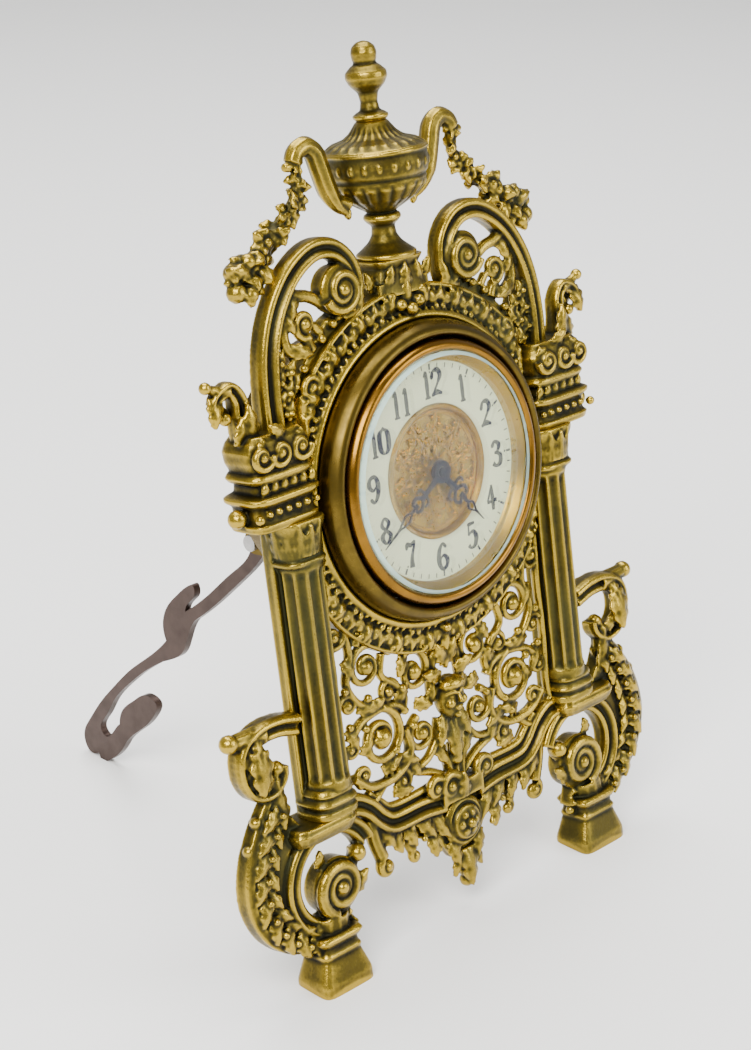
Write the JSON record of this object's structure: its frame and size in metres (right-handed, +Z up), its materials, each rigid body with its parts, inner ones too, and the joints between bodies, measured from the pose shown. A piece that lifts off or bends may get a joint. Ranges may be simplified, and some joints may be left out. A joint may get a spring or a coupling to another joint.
{
  "type": "mantel clock",
  "caption": "Easel mantel clock: pierced cast brass front with columns, scrolls and an urn, round glazed dial, spring movement and a folding strut.",
  "frame": {"origin": "middle of the footprint, on the surface it stands on", "axes": "+X to the clock's right as seen from the front, -Y out of the front, +Z up"},
  "size_m": [0.2226, 0.2154, 0.3267],
  "materials": {
    "cast_brass": "cast, gilt worn to olive brown patina",
    "polished_brass": "brushed and lacquered",
    "bronzed_brass": "turned, bronzed by age",
    "bezel_brass": "turned and burnished",
    "bright_steel": "polished",
    "blued_steel": "heat blued",
    "dial_enamel": "glossy enamel",
    "dial_glass": "clear, bevelled",
    "strut_iron": "dark brown, flat bar"
  },
  "bodies": {
    "clock_case": {"dial_surround": "cast_brass", "left_column": "cast_brass", "left_shoulder": "cast_brass", "left_top_arch": "cast_brass", "left_handle_garland": "cast_brass", "left_base_scroll": "cast_brass", "right_column": "cast_brass", "right_shoulder": "cast_brass", "right_top_arch": "cast_brass", "right_handle_garland": "cast_brass", "right_base_scroll": "cast_brass", "urn_plinth": "cast_brass", "urn_body": "cast_brass", "urn_lid": "cast_brass", "urn_finial": "cast_brass", "base_apron": "cast_brass", "scroll_panel": "cast_brass", "bezel_ring": "bronzed_brass", "case_drum": "bronzed_brass", "glass_bezel": "bezel_brass", "dial_glass": "dial_glass", "sight_ring": "polished_brass", "dial_ring": "dial_enamel", "dial_centre_rim": "polished_brass", "dial_centre": "polished_brass", "dial_plate": "polished_brass", "front_plate": "polished_brass", "back_plate": "polished_brass", "plate_pillars": "polished_brass", "case_screws": "bright_steel", "minute_stud": "bright_steel", "mainspring": "blued_steel", "back_cover": "bronzed_brass", "cover_screws": "bright_steel", "strut_bracket": "bronzed_brass", "bracket_screws": "bright_steel", "hinge_pin": "bright_steel"},
    "minute_work": {"centre_arbor": "bright_steel", "cannon_pinion": "bright_steel", "minute_hand": "blued_steel", "hand_nut": "bright_steel", "hand_set_knob": "polished_brass"},
    "hour_work": {"hour_wheel": "polished_brass", "hour_hand": "blued_steel"},
    "minute_wheel": {"minute_wheel": "polished_brass"},
    "great_wheel": {"great_wheel": "polished_brass", "click": "bright_steel"},
    "centre_wheel": {"centre_wheel": "polished_brass"},
    "third_wheel": {"third_wheel": "polished_brass"},
    "fourth_wheel": {"fourth_wheel": "polished_brass"},
    "escape_wheel": {"escape_wheel": "polished_brass", "escape_arbor": "bright_steel"},
    "lever": {"lever": "bright_steel"},
    "balance": {"balance_wheel": "polished_brass", "hairspring": "blued_steel"},
    "winding_work": {"winding_arbor": "bright_steel", "ratchet_wheel": "bright_steel", "winding_key": "bright_steel"},
    "strut": {"strut": "strut_iron"}
  },
  "joints": [
    {"name": "minute_hand_turn", "type": "hinge", "parent": "clock_case", "child": "minute_work", "pos_m": [0, -0.07013, 0.17369], "axis": [0, 0.9869, -0.1616], "continuous": true},
    {"name": "hour_hand_turn", "type": "hinge", "parent": "clock_case", "child": "hour_work", "pos_m": [0, -0.07013, 0.17369], "axis": [0, 0.9869, -0.1616], "continuous": true},
    {"name": "minute_wheel_turn", "type": "hinge", "parent": "clock_case", "child": "minute_wheel", "pos_m": [0.006, -0.06845, 0.18394], "axis": [0, 0.9869, -0.1616], "continuous": true},
    {"name": "fourth_wheel_turn", "type": "hinge", "parent": "clock_case", "child": "fourth_wheel", "pos_m": [-0.01619, -0.0669, 0.19342], "axis": [0, 0.9869, -0.1616], "continuous": true},
    {"name": "third_wheel_turn", "type": "hinge", "parent": "clock_case", "child": "third_wheel", "pos_m": [-0.00266, -0.06769, 0.18856], "axis": [0, 0.9869, -0.1616], "continuous": true},
    {"name": "centre_wheel_turn", "type": "hinge", "parent": "clock_case", "child": "centre_wheel", "pos_m": [0, -0.07013, 0.17369], "axis": [0, 0.9869, -0.1616], "continuous": true},
    {"name": "great_wheel_turn", "type": "hinge", "parent": "clock_case", "child": "great_wheel", "pos_m": [0.01769, -0.07213, 0.16146], "axis": [0, 0.9869, -0.1616], "continuous": true},
    {"name": "escape_wheel_turn", "type": "hinge", "parent": "clock_case", "child": "escape_wheel", "pos_m": [-0.02249, -0.06866, 0.18265], "axis": [0, 0.9869, -0.1616], "continuous": true},
    {"name": "lever_rock", "type": "hinge", "parent": "clock_case", "child": "lever", "pos_m": [-0.02496, -0.07039, 0.17207], "axis": [0, 0.9869, -0.1616], "range_deg": [-4, 4]},
    {"name": "balance_swing", "type": "hinge", "parent": "clock_case", "child": "balance", "pos_m": [-0.02766, -0.07228, 0.16053], "axis": [0, 0.9869, -0.1616], "range_deg": [-220, 220], "stiffness_Nm_per_rad": 0.000025},
    {"name": "winding_turn", "type": "hinge", "parent": "clock_case", "child": "winding_work", "pos_m": [0.01769, -0.07213, 0.16146], "axis": [0, 0.9869, -0.1616], "continuous": true},
    {"name": "strut_fold", "type": "hinge", "parent": "clock_case", "child": "strut", "pos_m": [-0.024, -0.00912, 0.13472], "axis": [1, 0, 0], "range_deg": [-46, 0]}
  ],
  "couplings": [
    {"joint": "hour_hand_turn", "follows": "minute_hand_turn", "ratio": 0.083333},
    {"joint": "minute_wheel_turn", "follows": "minute_hand_turn", "ratio": -0.33333},
    {"joint": "third_wheel_turn", "follows": "fourth_wheel_turn", "ratio": -0.125},
    {"joint": "centre_wheel_turn", "follows": "fourth_wheel_turn", "ratio": 0.016667},
    {"joint": "great_wheel_turn", "follows": "fourth_wheel_turn", "ratio": -0.0020833},
    {"joint": "escape_wheel_turn", "follows": "fourth_wheel_turn", "ratio": -8}
  ]
}
